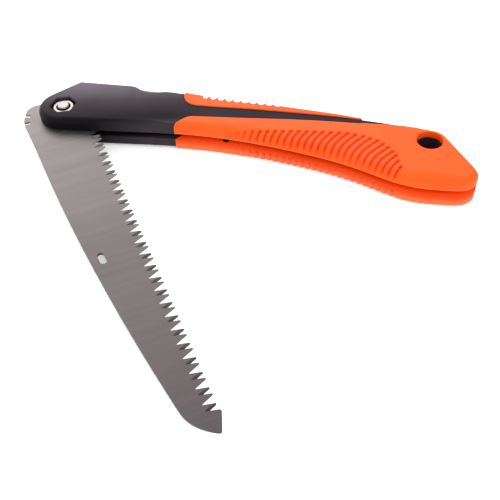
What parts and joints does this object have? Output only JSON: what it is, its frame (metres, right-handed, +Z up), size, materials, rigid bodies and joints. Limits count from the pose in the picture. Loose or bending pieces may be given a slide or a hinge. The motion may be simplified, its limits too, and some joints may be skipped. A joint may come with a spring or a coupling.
{
  "type": "folding pruning saw",
  "caption": "Folding pruning saw, half open: toothed steel blade hinged on a bolt in the slot of a curved orange and black grip, with a rocking lock bar in the back and a hang hole.",
  "frame": {"origin": "middle of the whole saw's length and breadth as it lies on its side, on the surface it lies on", "axes": "+X along the handle's straight front from the pivot towards the butt, +Y towards the handle's back, +Z up across the handle's thickness"},
  "size_m": [0.2274, 0.1812, 0.0164],
  "materials": {
    "blade_steel": "satin, finely ground across",
    "zinc_hardware": "bright plated",
    "turned_steel": "satin",
    "spring_steel": "satin",
    "black_polymer": "fine-textured satin",
    "orange_grip": "satin soft-touch",
    "pad_grey": "satin",
    "washer_polymer": "smooth",
    "black_rubber": "matt"
  },
  "bodies": {
    "handle": {"upper_shell": "black_polymer", "lower_shell": "black_polymer", "upper_grip": "orange_grip", "lower_grip": "orange_grip", "upper_spine_grip": "orange_grip", "lower_spine_grip": "orange_grip", "pivot_bolt": "zinc_hardware", "pivot_nut": "zinc_hardware", "pivot_bush": "turned_steel", "upper_blade_washer": "washer_polymer", "lower_blade_washer": "washer_polymer", "lock_bar_pin": "turned_steel", "lock_spring": "spring_steel", "hang_hole_liner": "black_polymer", "nose_bumper": "black_rubber", "slot_pad": "black_rubber", "handle_screws": "turned_steel"},
    "blade": {"blade": "blade_steel"},
    "lock": {"lock_bar": "turned_steel", "thumb_pad": "pad_grey"}
  },
  "joints": [
    {"name": "blade_hinge", "type": "hinge", "parent": "handle", "child": "blade", "pos_m": [-0.09223, 0.06796, 0.0082], "axis": [0, 0, 1], "range_deg": [-148, 48]},
    {"name": "lock_rock", "type": "hinge", "parent": "handle", "child": "lock", "pos_m": [-0.06473, 0.08246, 0.0082], "axis": [0, 0, 1], "range_deg": [-3, 4.5], "stiffness_Nm_per_rad": 0.25, "springref_deg": 4.5, "deforming": ["lock_spring"]}
  ]
}
